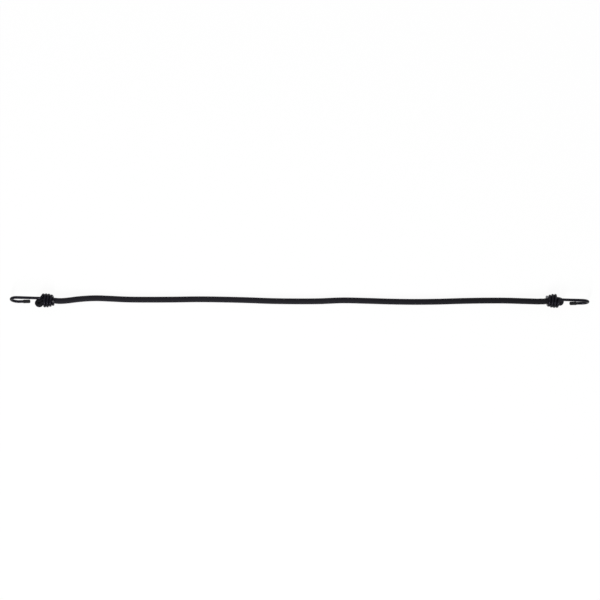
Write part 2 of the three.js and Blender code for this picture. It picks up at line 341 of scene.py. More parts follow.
def mouth(end):
    """Where the free cord goes into an end's coil."""
    return LEFT_MOUTH if end["facing"] < 0 else RIGHT_MOUTH


print("mouths above the floor, mm:", round(1000 * AXIS_HEIGHT, 2))

# %% [markdown]
# ## The cord's route
# Lying loose, the cord wanders by a few millimetres. Joining places with straight lines would leave kinks,
# so a smooth curve runs through a few places, the same as in the part's source: from mouth to mouth, down to
# the floor and up again. A point on the axis inside each coil sets the direction in which the cord leaves
# the mouth.

# %% Draw the route
ROUTE = [
    LEFT_MOUTH,
    (-0.372, -0.0009, 0.0101),
    (-0.361, -0.0002, 0.0092),
    (-0.346, 0.0017, 0.0072),
    (-0.331, 0.003, 0.0055),
    (-0.316, 0.0035, 0.0047),
    (-0.298, 0.0029, 0.0045),
    (-0.27, 0.0016, 0.0045),
    (-0.235, 0.0013, 0.0045),
    (-0.195, 0.0015, 0.0045),
    (-0.157, 0.002, 0.0045),
    (-0.12, 0.0016, 0.0045),
    (-0.082, 0.0007, 0.0045),
    (-0.045, -0.0006, 0.0045),
    (-0.008, -0.0011, 0.0045),
    (0.03, -0.0009, 0.0045),
    (0.067, 0.0005, 0.0045),
    (0.104, -0.0002, 0.0045),
    (0.141, -0.0013, 0.0045),
    (0.18, -0.0018, 0.0045),
    (0.216, -0.0014, 0.0045),
    (0.253, -0.0003, 0.0045),
    (0.285, 0.0003, 0.0045),
    (0.301, 0.0004, 0.0045),
    (0.317, 0.0004, 0.0047),
    (0.332, 0.0001, 0.0055),
    (0.347, -0.0004, 0.0072),
    (0.361, -0.0008, 0.009),
    (0.373, -0.001, 0.0101),
    RIGHT_MOUTH,
]
LEAD_IN = 0.004
SPAN_STEPS = 40


def smooth_line(places):
    """Many points along a smooth curve through a few, with the speed set by the distance between them."""
    knots = [Vector(place) for place in places]
    knots = [2 * knots[0] - knots[1], *knots, 2 * knots[-1] - knots[-2]]
    line = []
    for a, b, c, d in zip(knots, knots[1:], knots[2:], knots[3:]):
        gaps = [math.sqrt((q - p).length) for p, q in ((a, b), (b, c), (c, d))]
        out = ((b - a) / gaps[0] - (c - a) / (gaps[0] + gaps[1]) + (c - b) / gaps[1]) * gaps[1]
        into = ((c - b) / gaps[1] - (d - b) / (gaps[1] + gaps[2]) + (d - c) / gaps[2]) * gaps[1]
        for i in range(SPAN_STEPS):
            t = i / SPAN_STEPS
            bend = (2 * (b - c) + out + into) * t**3 + (3 * (c - b) - 2 * out - into) * t**2
            line.append(b + out * t + bend)
    return np.array([*line, knots[-2]])


def lengths_along(line):
    """The distance along a line of points, at each of them."""
    return np.concatenate([[0.0], np.cumsum(np.linalg.norm(np.diff(line, axis=0), axis=1))])


inside_left = (LEFT_MOUTH[0] - LEAD_IN, *LEFT_MOUTH[1:])
inside_right = (RIGHT_MOUTH[0] + LEAD_IN, *RIGHT_MOUTH[1:])
free_line = smooth_line([inside_left, *ROUTE, inside_right])[SPAN_STEPS:-SPAN_STEPS]
FREE_LENGTH = float(lengths_along(free_line)[-1])
print("free cord, mm:", round(1000 * FREE_LENGTH, 1))

# %% [markdown]
# ## The braid's rule
# The sheath is braided from 24 flat yarns, twelve winding each way. Each passes over two and under two of
# the others. Counting places on the sheath in strands, round it and along it, one strand runs along their
# sum and the other along their difference, so which strand is on top follows from whole numbers alone.
# The rule is written once and used twice: geometry nodes lift the strands with it, and the material colours
# them with it.

# %% Write the braid's rule
STRANDS_EACH_WAY = 12
STRANDS_OVER = 2.0
STRAND_REPEAT = 2 * STRANDS_OVER
ROUNDNESS_ACROSS = 0.75
ROUNDNESS_ALONG = 0.5


def braid(round_place, along_place):
    """At a place on the sheath: how far across and along its top strand it is, and which strand that is."""
    rising = round_place + along_place
    falling = round_place - along_place
    rising_strand = rising.floor()
    falling_strand = falling.floor()
    # The sum is a whole number, so a limit half way between two of them is safe from rounding.
    rising_on_top = ((rising_strand + falling_strand) % STRAND_REPEAT) < STRANDS_OVER - 0.5
    across = choose(rising_on_top, rising.fraction(), falling.fraction())
    rising_run = ((rising_strand + falling) % STRAND_REPEAT) / STRANDS_OVER
    falling_run = ((falling_strand + rising) % STRAND_REPEAT) / STRANDS_OVER - 1.0
    run = choose(rising_on_top, rising_run, falling_run)
    strand = choose(
        rising_on_top,
        rising_strand % float(STRANDS_EACH_WAY),
        falling_strand % float(STRANDS_EACH_WAY) + STRANDS_EACH_WAY,
    )
    return across, run, strand


def ridge(place):
    """A rounded ridge, 1 in the middle of a span from 0 to 1 and 0 at both its edges."""
    middle = 2 * place - 1
    return (1 - middle * middle).at_least(0.0)


def strand_height(across, run):
    """The height of a strand, 0 where it dips under its neighbours and 1 on its crown."""
    return ridge(across) ** ROUNDNESS_ACROSS * ridge(run) ** ROUNDNESS_ALONG


print("strands:", 2 * STRANDS_EACH_WAY)

# %% [markdown]
# ## Braided polyester
# The yarn is black polyester with a soft, slightly violet grey where light catches it. Each strand is a flat
# bundle of fine ends that run along it, so the material draws fine lines along each strand, paints shade into
# the valleys where strands dip, and makes no two strands quite alike. The UV map counts strands, so the
# pattern bends and stretches with the cord. Painted shade also darkens the left fold, which lies in the
# hook's shadow, most of the free cord a little, and the free cord more towards its right end, where less
# light falls.
# An attribute on the sheath says how much.

# %% Mix the sheath's material
YARN_DARK = (0.0022, 0.002, 0.0036, 1.0)
YARN_MIDDLE = (0.0066, 0.006, 0.0096, 1.0)
YARN_LIGHT = (0.0144, 0.0134, 0.0175, 1.0)
YARN_SHEEN = (0.75, 0.72, 0.85, 1.0)
ENDS_PER_STRAND = 6.0
# How much darker the painted shade makes the yarn where it is fullest.
SHADE_DARKENING = 0.5
YARN_BUMP = 0.00006


def noise(bench, place, scale, detail=2.0, roughness=0.5):
    """Blender's cloud noise at a scale in lumps per metre."""
    return bench.node(
        "ShaderNodeTexNoise",
        {"noise_dimensions": "3D"},
        {"Vector": place, "Scale": scale, "Detail": detail, "Roughness": roughness},
    )


def bumped(bench, height, distance):
    """A surface direction tipped by a height from 0 to 1, for a relief that deep in metres."""
    return bench.node("ShaderNodeBump", None, {"Height": height, "Distance": distance, "Strength": 1.0})


braided_polyester, bench, shader = new_material("braided_polyester")
braid_map = bench.node("ShaderNodeUVMap", {"uv_map": "braid"})
split_map = {"Vector": braid_map}
across, run, strand = braid(
    bench.node("ShaderNodeSeparateXYZ", None, split_map, output=0),
    bench.node("ShaderNodeSeparateXYZ", None, split_map, output=1),
)
crown = strand_height(across, run)
here = bench.node("ShaderNodeTexCoord", output="Object")
fine_ends = 0.5 + 0.5 * (across * (ENDS_PER_STRAND * math.tau)).sine()
fuzz = noise(bench, here, scale=2600.0, detail=3.0)
soiling = noise(bench, here, scale=38.0, detail=3.0, roughness=0.6)
own_shade = bench.node("ShaderNodeTexWhiteNoise", {"noise_dimensions": "1D"}, {"W": strand})
# Painted shade: darker yarn in the left fold, in the hook's shadow, and towards the free cord's right end,
# where less light falls.
shade_here = bench.node("ShaderNodeAttribute", {"attribute_name": "deep_dye"}, output="Fac")
# Painted shade: the crown term darkens the yarn in the valleys where strands dip.
shade_and_tone = 0.52 * crown + 0.16 * fine_ends + 0.18 * fuzz + 0.10 * own_shade + 0.14 * soiling
shade_and_tone = shade_and_tone - SHADE_DARKENING * shade_here
yarn_colour = bench.node(
    "ShaderNodeValToRGB",
    {"stops": [(0.12, YARN_DARK), (0.55, YARN_MIDDLE), (0.98, YARN_LIGHT)]},
    {"Fac": shade_and_tone},
)
yarn_relief = 0.5 * crown + 0.3 * fine_ends + 0.35 * fuzz
yarn_finish = {
    "Base Color": yarn_colour,
    "Roughness": 0.84 - 0.14 * crown + 0.12 * (fuzz - 0.5),
    "Normal": bumped(bench, yarn_relief, YARN_BUMP),
    "Specular IOR Level": 0.14,
    "Sheen Weight": 0.05,
    "Sheen Roughness": 0.4,
    "Sheen Tint": YARN_SHEEN,
}
bench.feed(shader, yarn_finish)
print("material:", braided_polyester.name)

# %% [markdown]
# ## The sheath's tube
# A plain grid would cut across the strands and leave their edges ragged. Here each ring of points is turned
# half a step from the last, so the faces are small diamonds whose edges run along the strands. The tube is
# made by mesh code, because its section is squeezed to an oval where the coil grips the doubled cord. Each
# point keeps as attributes its place in strands, how much shade is painted on it and the way out of the
# surface, and each face corner keeps its place in strands as a UV.

# %% Lay a tube's diamonds
STRAND_POINTS = 4
BRAID_TURN = 0.038
RING_POINTS = STRANDS_EACH_WAY * STRAND_POINTS
RING_STEP = BRAID_TURN / (2 * RING_POINTS)


def diamond_faces(first, last):
    """Corners, as (ring, place round it), of a tube's diamonds and of the triangles that square its ends."""
    faces = []
    for i in range(first, last - 1):
        odd = i % 2
        for j in range(RING_POINTS):
            faces.append(((i, j), (i + 1, j + odd), (i + 2, j), (i + 1, j - 1 + odd)))
    for j in range(RING_POINTS):
        faces.append(((first, j), (first, j + 1), (first + 1, j + first % 2)))
        faces.append(((last, j), (last - 1, j + last % 2), (last, j + 1)))
    return faces


print("ring of", RING_POINTS, "points every", round(1000 * RING_STEP, 3), "mm")

# %% Make the tube
BRAID_LIFT = 0.00024
END_UV = (0.5, 0.5)
# Painted shade along X: how much the sheath is darkened at each place, fullest in the left fold and near the
# free cord's right end.
SHADE_PLACES = [-0.402, -0.394, 0.05, 0.375, 0.395]
SHADE_AMOUNTS = [1.0, 0.1, 0.1, 1.0, 0.0]


def sheath_tube(name, cord, first, last):
    """A closed tube of diamonds round the cord, from one of its rings to another.

    It is thinner than the cord by half the strands' lift, so that strands and valleys average out.
    """
    rings = np.arange(first, last + 1)
    place = np.arange(RING_POINTS)[None, :] + (rings % 2)[:, None] / 2
    angle = math.tau * place[..., None] / RING_POINTS
    side, up = (cord[axis][rings, None, :] for axis in ("side", "up"))
    width, depth = (cord[size][rings, None, None] - BRAID_LIFT / 2 for size in ("width", "depth"))
    skin = cord["points"][rings, None, :] + width * np.cos(angle) * side + depth * np.sin(angle) * up
    outward = depth * np.cos(angle) * side + width * np.sin(angle) * up
    outward /= np.linalg.norm(outward, axis=2, keepdims=True)
    corners = diamond_faces(first, last)
    faces = [[(i - first) * RING_POINTS + j % RING_POINTS for i, j in face] for face in corners]
    first_cap = list(range(RING_POINTS))[::-1]
    last_cap = [(last - first) * RING_POINTS + j for j in range(RING_POINTS)]
    mesh = bpy.data.meshes.new(name)
    mesh.from_pydata(skin.reshape(-1, 3).tolist(), [], faces + [first_cap, last_cap])

    round_place = place / STRAND_POINTS
    along_place = np.broadcast_to(rings[:, None] / (2 * STRAND_POINTS), place.shape)
    # How much shade is painted on each point, from its place along X.
    deep_dye = np.interp(skin[..., 0], SHADE_PLACES, SHADE_AMOUNTS)
    marks = {"round_place": round_place, "along_place": along_place, "deep_dye": deep_dye}
    for attribute, values in marks.items():
        layer = mesh.attributes.new(attribute, "FLOAT", "POINT")
        layer.data.foreach_set("value", values.astype(np.float32).ravel())
    layer = mesh.attributes.new("outward", "FLOAT_VECTOR", "POINT")
    layer.data.foreach_set("vector", outward.astype(np.float32).ravel())
    uv = [((j + i % 2 / 2) / STRAND_POINTS, i / (2 * STRAND_POINTS)) for face in corners for i, j in face]
    uv += [END_UV] * (2 * RING_POINTS)
    mesh.uv_layers.new(name="braid").data.foreach_set("uv", np.array(uv, np.float32).ravel())
    return into_scene(name, mesh)


print("strands rise by, mm:", 1000 * BRAID_LIFT)

# %% [markdown]
# ## Lifting the strands
# Geometry nodes move each point out from the surface by the braid's rule. The tree has named inputs for the
# height of a strand and for the material, and ends as plain geometry.

# %% Open, close and run a geometry tree
# Only the faces that close an end have more corners than this.
SIDE_CORNERS = 4


def new_tree(name, inputs):
    """An empty geometry tree with a geometry input and output, named inputs, and its bench."""
    tree = bpy.data.node_groups.new(name, "GeometryNodeTree")
    tree.interface.new_socket("Geometry", in_out="INPUT", socket_type="NodeSocketGeometry")
    for label, kind in inputs:
        tree.interface.new_socket(label, in_out="INPUT", socket_type=kind)
    tree.interface.new_socket("Geometry", in_out="OUTPUT", socket_type="NodeSocketGeometry")
    bench = Bench(tree)
    entry = tree.nodes.new("NodeGroupInput")
    given = {socket.name: Value(bench, socket) for socket in entry.outputs if socket.name}
    return tree, bench, given


def close_tree(tree, bench, geometry, material):
    """Shades the result smooth, makes it plain geometry, gives it its material and sends it out."""
    smooth = bench.node("GeometryNodeSetShadeSmooth", None, {"Geometry": geometry})
    plain = bench.node("GeometryNodeRealizeInstances", None, {"Geometry": smooth})
    dressed = bench.node("GeometryNodeSetMaterial", None, {"Geometry": plain, "Material": material})
    bench.plug(tree.nodes.new("NodeGroupOutput").inputs[0], dressed)


def run_tree(piece, tree, settings):
    """Runs a tree on an object and gives back a new one with the result as a plain mesh, its ends flat."""
    modifier = piece.modifiers.new(tree.name, "NODES")
    modifier.node_group = tree
    for item in tree.interface.items_tree:
        if item.in_out == "INPUT" and item.name in settings:
            modifier[item.identifier] = settings[item.name]
    evaluated = piece.evaluated_get(bpy.context.evaluated_depsgraph_get())
    mesh = bpy.data.meshes.new_from_object(evaluated)
    corners = np.zeros(len(mesh.polygons), np.int32)
    mesh.polygons.foreach_get("loop_total", corners)
    mesh.polygons.foreach_set("use_smooth", corners <= SIDE_CORNERS)
    name = piece.name
    bpy.data.objects.remove(piece)
    mesh.name = name
    return into_scene(name, mesh)


print("geometry trees ready")

# %% Build the tree that lifts the strands
lift_tree, bench, given = new_tree(
    "lifted_strands", [("Lift", "NodeSocketFloat"), ("Material", "NodeSocketMaterial")]
)
across, run, _ = braid(
    bench.node("GeometryNodeInputNamedAttribute", {"data_type": "FLOAT"}, {"Name": "round_place"}),
    bench.node("GeometryNodeInputNamedAttribute", {"data_type": "FLOAT"}, {"Name": "along_place"}),
)
outward = bench.node("GeometryNodeInputNamedAttribute", {"data_type": "FLOAT_VECTOR"}, {"Name": "outward"})
offset = bench.node(
    "ShaderNodeVectorMath",
    {"operation": "SCALE"},
    {"Vector": outward, "Scale": given["Lift"] * strand_height(across, run)},
)
lifted = bench.node("GeometryNodeSetPosition", None, {"Geometry": given["Geometry"], "Offset": offset})
close_tree(lift_tree, bench, lifted, given["Material"])
print("tree:", lift_tree.name, "with", len(lift_tree.nodes), "nodes")


# %% Braid a tube
def rest_on_floor(piece):
    """Presses flat whatever would reach below the floor."""
    places = np.zeros(3 * len(piece.data.vertices), np.float32)
    piece.data.vertices.foreach_get("co", places)
    places[2::3] = np.maximum(places[2::3], 0.0)
    piece.data.vertices.foreach_set("co", places)


def braided(tube):
    """The tube with its strands lifted and its material on."""
    piece = run_tree(tube, lift_tree, {"Lift": BRAID_LIFT, "Material": braided_polyester})
    rest_on_floor(piece)
    return piece


print("braided in:", braided_polyester.name)

# %% [markdown]
# ## The cord
# The whole cord is laid out once, ring by ring, from the left tail to the right one. Between the coils it is
# a tenth of a millimetre fuller all round than the solid, to match the picture's outline. It narrows in a few
# millimetres at each mouth, and is squeezed to an oval where it lies double. Its sag to one side begins just
# inside each mouth and is gone a few millimetres outside. The sheath is then braided in three lengths: the
# free cord, which stretches, and a folded end in each hook. They meet under the wire, on rings that they
# share, and the strands count on from one to the next, so no join shows.

# %% The sizes in the coils
MOUTH_SQUEEZE = 0.86
MOUTH_CLEARANCE = 0.00038
COIL_PITCH = 0.00433
COIL_FIRST_ANGLE = 1460
COIL_LAST_ANGLE = 130
TAPER_START_TURN = 1.6
FOLD_SQUEEZE = 0.71
FOLD_GAP = 0.0005

MOUTH_CORD_RADIUS = CORD_RADIUS * MOUTH_SQUEEZE
COIL_TURNS = (COIL_FIRST_ANGLE - COIL_LAST_ANGLE) / 360
COIL_START = WIRE_RADIUS + MOUTH_CLEARANCE
COIL_END = COIL_START + COIL_TURNS * COIL_PITCH
TAPER_END = COIL_END - TAPER_START_TURN * COIL_PITCH
FOLD_HALF_WIDTH = CORD_RADIUS * FOLD_SQUEEZE + PRESSED * FOLD_GAP
FOLD_RADIUS = FOLD_HALF_WIDTH + FOLD_GAP * (0.5 - 2 * PRESSED)
print("turns of wire:", round(COIL_TURNS, 2), "ending, mm from the mouth:", round(1000 * COIL_END, 1))

# %% Fold the ends
FREE_FULLNESS = 0.0001
FREE_RADIUS = CORD_RADIUS + FREE_FULLNESS
NECK_OUT = 0.0022
NECK_IN = 0.0032
# The lean starts a little later than the solid's, which leaves room for the wire to turn.
LEAN_START = -0.0008
LEAN_END = 0.005
OUT_STEPS = 160
BEND_ROUND_STEPS = 90
BACK_STEPS = 90


def ease(value, low, high):
    """0 below low, 1 above high, and a smooth rise between."""
    t = np.clip((value - low) / (high - low), 0.0, 1.0)
    return t * t * (3 - 2 * t)


def neck_radius(inside):
    """The round cord's radius at a distance inside the mouth, through which it narrows."""
    return FREE_RADIUS - (FREE_RADIUS - MOUTH_CORD_RADIUS) * ease(inside, -NECK_OUT, NECK_IN)


def fold_line(end):
    """The line of a folded end from mouth to tail, with the cord's half width and half depth along it."""
    fold_x = COIL_END + end["proud"] - FOLD_RADIUS - FOLD_HALF_WIDTH
    out = np.linspace(0.0, fold_x, OUT_STEPS)
    back = np.linspace(fold_x, TAPER_END, BACK_STEPS)
    bend = np.linspace(0.0, math.pi, BEND_ROUND_STEPS)[1:-1]
    in_bend = slice(len(out), len(out) + len(bend))
    x = np.concatenate([out, np.full(len(bend), fold_x), back])
    split = ease(x, COIL_START, TAPER_END)
    spread = ease(x, COIL_END, fold_x)
    offset = split * LEG_OFFSET
    offset += spread * (FOLD_RADIUS - offset)
    offset[in_bend] = FOLD_RADIUS * np.cos(bend)
    offset[in_bend.stop:] *= -1
    neck = neck_radius(x)
    width = neck + split * (LEG_HALF_WIDTH - neck)
    width += spread * (FOLD_HALF_WIDTH - width)
    depth = neck + split * (CORD_RADIUS - neck)
    x[in_bend] += FOLD_RADIUS * np.sin(bend)
    tilt = math.radians(end["tilt"])
    y = offset * math.cos(tilt) + end["lean"] * ease(x, COIL_END + LEAN_START, COIL_END + LEAN_END)
    z = AXIS_HEIGHT + offset * math.sin(tilt)
    return np.stack([mouth(end)[0] + end["facing"] * x, y, z], axis=1), width, depth


left_line, left_width, left_depth = (part[::-1] for part in fold_line(LEFT))
right_line, right_width, right_depth = fold_line(RIGHT)
for end, line in ((LEFT, left_line), (RIGHT, right_line)):
    print(end["name"], "folded end, mm:", round(1000 * lengths_along(line)[-1], 1))


# %% Lay out the rings
def even_steps(line, sizes):
    """A line, and the sizes along it, read again at even steps of about one ring."""
    length = lengths_along(line)
    even = np.linspace(0.0, length[-1], round(length[-1] / RING_STEP) + 1)
    points = np.stack([np.interp(even, length, line[:, axis]) for axis in range(3)], axis=1)
    return points, [np.interp(even, length, size) for size in sizes]


def joined(left, free, right):
    """One array from tail to tail, with the ring at each mouth taken once."""
    return np.concatenate([left[:-1], free[:-1], right])


left_points, (left_width, left_depth) = even_steps(left_line, [left_width, left_depth])
free_points, _ = even_steps(free_line, [])
right_points, (right_width, right_depth) = even_steps(right_line, [right_width, right_depth])
from_mouth = np.minimum(free_points[:, 0] - LEFT_MOUTH[0], RIGHT_MOUTH[0] - free_points[:, 0])
free_radius = neck_radius(-from_mouth)
free_tilt = np.linspace(LEFT["tilt"], RIGHT["tilt"], len(free_points))
left_tilt = np.full(len(left_points), LEFT["tilt"])
right_tilt = np.full(len(right_points), RIGHT["tilt"])

cord = {
    "points": joined(left_points, free_points, right_points),
    "width": joined(left_width, free_radius, right_width),
    "depth": joined(left_depth, free_radius, right_depth),
}
print("rings:", len(cord["points"]))

# %% Let the cord sag, and turn its rings
SAG_IN = 0.0007
SAG_OUT = 0.002
SAG_END = 0.009


def section_axes(points, tilt):
    """Two directions across a line at each point, turned about it to a tilt in degrees from level."""
    along = np.gradient(points, axis=0)
    along /= np.linalg.norm(along, axis=1, keepdims=True)
    angle = np.radians(tilt)
    across = np.stack([np.zeros(len(points)), -np.sin(angle), np.cos(angle)], axis=1)
    side = np.cross(across, along)
    side /= np.linalg.norm(side, axis=1, keepdims=True)
    return side, np.cross(along, side)


for end in (LEFT, RIGHT):
    outside = end["facing"] * (mouth(end)[0] - cord["points"][:, 0])
    sag = ease(outside, -SAG_IN, SAG_OUT) - ease(outside, 0.0, SAG_END)
    cord["points"][:, 1] -= end["sag"] * np.maximum(sag, 0.0)
cord["side"], cord["up"] = section_axes(cord["points"], joined(left_tilt, free_tilt, right_tilt))
print("lowest point of the cord's line, mm:", round(1000 * cord["points"][:, 2].min(), 2))

# %% Share the rings out
JOIN_DEPTH = 0.006
LAST_RING = len(cord["points"]) - 1
LEFT_JOIN = len(left_points) - 1 - round(JOIN_DEPTH / RING_STEP)
RIGHT_JOIN = LAST_RING - len(right_points) + 1 + round(JOIN_DEPTH / RING_STEP)
print("joins at rings", LEFT_JOIN, "and", RIGHT_JOIN, "of", LAST_RING)

# %% Braid the free cord
cord_braid = braided(sheath_tube("cord_braid", cord, LEFT_JOIN, RIGHT_JOIN))
print("free cord faces:", len(cord_braid.data.polygons))

# %% Braid the two folded ends
left_fold_braid = braided(sheath_tube("left_fold_braid", cord, 0, LEFT_JOIN))
right_fold_braid = braided(sheath_tube("right_fold_braid", cord, RIGHT_JOIN, LAST_RING))
for piece in (left_fold_braid, right_fold_braid):
    print(piece.name, "faces:", len(piece.data.polygons))

# %% [markdown]
# ## The rubber core
# Inside the sheath, a bundle of bare latex threads does the stretching. Only the cut tails could show it,
# and the coils all but cover those, but it has to be there and to stretch with the sheath. Nineteen threads,
# packed in a hexagon, run from tail to tail. One geometry tree sweeps a round section along every spline of
# a curve, and the same tree draws the hooks' wire further on.

# %% Mix the rubber
LATEX = (0.48, 0.39, 0.26, 1.0)
LATEX_DUSTY = (0.60, 0.53, 0.40, 1.0)
LATEX_BUMP = 0.00003


def mixed(bench, factor, first, second):
    """One colour at factor 0 and another at factor 1."""
    return bench.node(
        "ShaderNodeMix", {"data_type": "RGBA"}, {0: factor, 6: first, 7: second}, output=2
    )


latex_rubber, bench, shader = new_material("latex_rubber")
here = bench.node("ShaderNodeTexCoord", output="Object")
dust = noise(bench, here, scale=900.0, detail=4.0, roughness=0.65)
latex_finish = {
    "Base Color": mixed(bench, dust, LATEX, LATEX_DUSTY),
    "Roughness": 0.7 + 0.25 * dust,
    "Normal": bumped(bench, dust, LATEX_BUMP),
}
bench.feed(shader, latex_finish)
print("material:", latex_rubber.name)

# %% Build the tree that sweeps a round section
sweep_tree, bench, given = new_tree(
    "swept_round",
    [("Radius", "NodeSocketFloat"), ("Sides", "NodeSocketInt"), ("Material", "NodeSocketMaterial")],
)
section = bench.node(
    "GeometryNodeCurvePrimitiveCircle", None, {"Resolution": given["Sides"], "Radius": given["Radius"]}
)
swept = bench.node(
    "GeometryNodeCurveToMesh",
    None,
    {
        "Curve": given["Geometry"],
        "Profile Curve": section,
        "Scale": bench.node("GeometryNodeInputRadius"),
        "Fill Caps": True,
    },
)
close_tree(sweep_tree, bench, swept, given["Material"])
print("tree:", sweep_tree.name, "with", len(sweep_tree.nodes), "nodes")


# %% Sweep bars along lines
def sweep(name, lines, scales, radius, sides, material):
    """Round bars along lines of points, each as thick at a point as its scale says, as one mesh."""
    curve = bpy.data.curves.new(name, "CURVE")
    curve.dimensions = "3D"
    for line, scale in zip(lines, scales):
        spline = curve.splines.new("POLY")
        spline.points.add(len(line) - 1)
        spline.points.foreach_set("co", np.hstack([line, np.ones((len(line), 1))]).ravel())
        spline.points.foreach_set("radius", np.array(scale, float))
    path = into_scene(name, curve)
    return run_tree(path, sweep_tree, {"Radius": radius, "Sides": sides, "Material": material})


print("inputs of a sweep:", ", ".join(given))

# %% Lay the threads
THREAD_RADIUS = 0.00062
THREAD_SPACING = 0.0013
THREAD_SIDES = 6
THREAD_LAYERS = 2
FREE_SKIP = 9
FOLD_SKIP = 2

core_rings = np.concatenate(
    [
        np.arange(0, len(left_points), FOLD_SKIP),
        np.arange(len(left_points), LAST_RING - len(right_points), FREE_SKIP),
        np.arange(LAST_RING - len(right_points), LAST_RING + 1, FOLD_SKIP),
    ]
)
core = {name: values[core_rings] for name, values in cord.items()}
core_width = core["width"] / CORD_RADIUS
core_depth = core["depth"] / CORD_RADIUS
thread_places = [
    (THREAD_SPACING * (a + b / 2), THREAD_SPACING * b * math.sqrt(3) / 2)
    for a in range(-THREAD_LAYERS, THREAD_LAYERS + 1)
    for b in range(-THREAD_LAYERS, THREAD_LAYERS + 1)
    if abs(a + b) <= THREAD_LAYERS
]
thread_lines = [
    core["points"] + core["side"] * (x * core_width)[:, None] + core["up"] * (y * core_depth)[:, None]
    for x, y in thread_places
]
rubber_core = sweep(
    "rubber_core", thread_lines, [core_width] * len(thread_lines), THREAD_RADIUS, THREAD_SIDES, latex_rubber
)
print("threads:", len(thread_lines), "faces:", len(rubber_core.data.polygons))

# %% [markdown]
# ## Coated wire
# The hooks are steel wire dipped in black coating. It is glossy but not a mirror: the coat flows a little,
# which shows as a faint unevenness in the gloss, and where the wire rubs it is scuffed to a duller grey. It
# lies outside the solid's radius, and is thicker on the hook, where it ran down before it set. The one bare
# place is the end of the wire at the coil's mouth, where it was sheared after winding.

# %% Mix the wire's coating
COAT_BLACK = (0.0018, 0.0017, 0.0034, 1.0)
COAT_SHINE = (0.82, 0.77, 1.0, 1.0)
COAT_SCUFFED = (0.008, 0.0076, 0.0095, 1.0)
COAT_BUMP = 0.00003

black_coating, bench, shader = new_material("black_coating")
here = bench.node("ShaderNodeTexCoord", output="Object")
flow = noise(bench, here, scale=420.0, detail=2.0)
speckle = noise(bench, here, scale=3200.0, detail=2.0)
patches = noise(bench, here, scale=150.0, detail=5.0, roughness=0.7)
rubbed = bench.node("ShaderNodeMapRange", None, {"Value": patches, "From Min": 0.56, "From Max": 0.74})
coat_finish = {
    "Base Color": mixed(bench, rubbed, COAT_BLACK, COAT_SCUFFED),
    "Roughness": 0.2 + 0.06 * flow + 0.14 * rubbed,
    "Normal": bumped(bench, 0.7 * flow + 0.3 * speckle, COAT_BUMP),
    "Specular IOR Level": 0.13,
    "Specular Tint": COAT_SHINE,
}
bench.feed(shader, coat_finish)
print("material:", black_coating.name)

# %% Mix the cut steel
STEEL = (0.14, 0.14, 0.15, 1.0)
STEEL_DARK = (0.05, 0.05, 0.055, 1.0)
STEEL_BUMP = 0.00002

cut_steel, bench, shader = new_material("cut_steel")
here = bench.node("ShaderNodeTexCoord", output="Object")
shear_lines = bench.node(
    "ShaderNodeTexWave",
    {"bands_direction": "Z"},
    {"Vector": here, "Scale": 2400.0, "Distortion": 5.0, "Detail": 3.0},
)
steel_finish = {
    "Base Color": mixed(bench, shear_lines, STEEL_DARK, STEEL),
    "Roughness": 0.3 + 0.25 * shear_lines,
    "Normal": bumped(bench, shear_lines, STEEL_BUMP),
    "Metallic": 1.0,
}
bench.feed(shader, steel_finish)
print("material:", cut_steel.name)

# %% [markdown]
# ## The bent wire
# One length of wire makes the whole hook, so one line draws it: along the capped arm, round the bend, down
# the shank, across into the coil and round to the cut end. The coil is a helix whose radius shrinks towards
# the mouth by a rule. The line is worked out in the hook's own axes, with X outward along the coil's axis,
# then rolled to the angle at which each hook lies.

# %% The hook's sizes
SHANK_SKEW = 1.8
ARM_SKEW = -1.3
ARM_SPREAD = 0.0157
ARM_LENGTH = 0.0182
BEND_REACH = 0.0104
LEAD_REACH = 0.0043
SHANK_START = COIL_END + LEAD_REACH
BEND_HEIGHT = COIL_RADIUS - ARM_SPREAD / 2
ARM_HEIGHT = COIL_RADIUS - ARM_SPREAD


def bend_start(end):
    """How far from the mouth a hook's shank turns into its bend."""
    return HOOK_LENGTH - end["short"] - WIRE_RADIUS - BEND_REACH


def cap_tip(end):
    """How far from the mouth a hook's cap ends."""
    return bend_start(end) - ARM_LENGTH + end["trim"]


def shank_side(end, x):
    """How far to one side of the coil's axis the shank and the bend stand."""
    return end["aside"] - (x - SHANK_START) * math.tan(math.radians(SHANK_SKEW))


def arm_side(end, x):
    """The same for the arm, which turns off at the bend."""
    bend_x = bend_start(end)
    return shank_side(end, bend_x) - (x - bend_x) * math.tan(math.radians(ARM_SKEW))


for end in (LEFT, RIGHT):
    print(end["name"], "shank, mm:", round(1000 * (bend_start(end) - SHANK_START), 1))

# %% The coil's line
MOUTH_RADIUS = MOUTH_CORD_RADIUS + MOUTH_CLEARANCE + WIRE_RADIUS
TAPER_POWER = 1.35
COIL_STEP = 4


def coil_line():
    """The coil from the shank's side to the mouth."""
    steps = (COIL_FIRST_ANGLE - COIL_LAST_ANGLE) // COIL_STEP
    degrees = np.linspace(COIL_LAST_ANGLE, COIL_FIRST_ANGLE, steps)
    turn = (degrees - COIL_LAST_ANGLE) / 360
    narrowed = np.clip((turn - TAPER_START_TURN) / (COIL_TURNS - TAPER_START_TURN), 0.0, None)
    radius = COIL_RADIUS + (MOUTH_RADIUS - COIL_RADIUS) * narrowed**TAPER_POWER
    angle = np.radians(degrees)
    return np.stack([COIL_END - turn * COIL_PITCH, radius * np.cos(angle), radius * np.sin(angle)], axis=1)


print("points along the coil:", len(coil_line()))

# %% The whole wire's line
COAT_THICKNESS = 0.00019
COAT_POOL = 0.00012
CAP_CROWN = 0.0008
CAP_GAP = 0.00015
LEAD_HANDLE = 0.0026
BEND_STEPS = 56
STRAIGHT_STEPS = 14
LEAD_STEPS = 18
SHEAR_REACH = 0.0003
SHEAR_SCALE = 0.9


def unit(vector):
    """A vector's direction."""
    return vector / np.linalg.norm(vector)


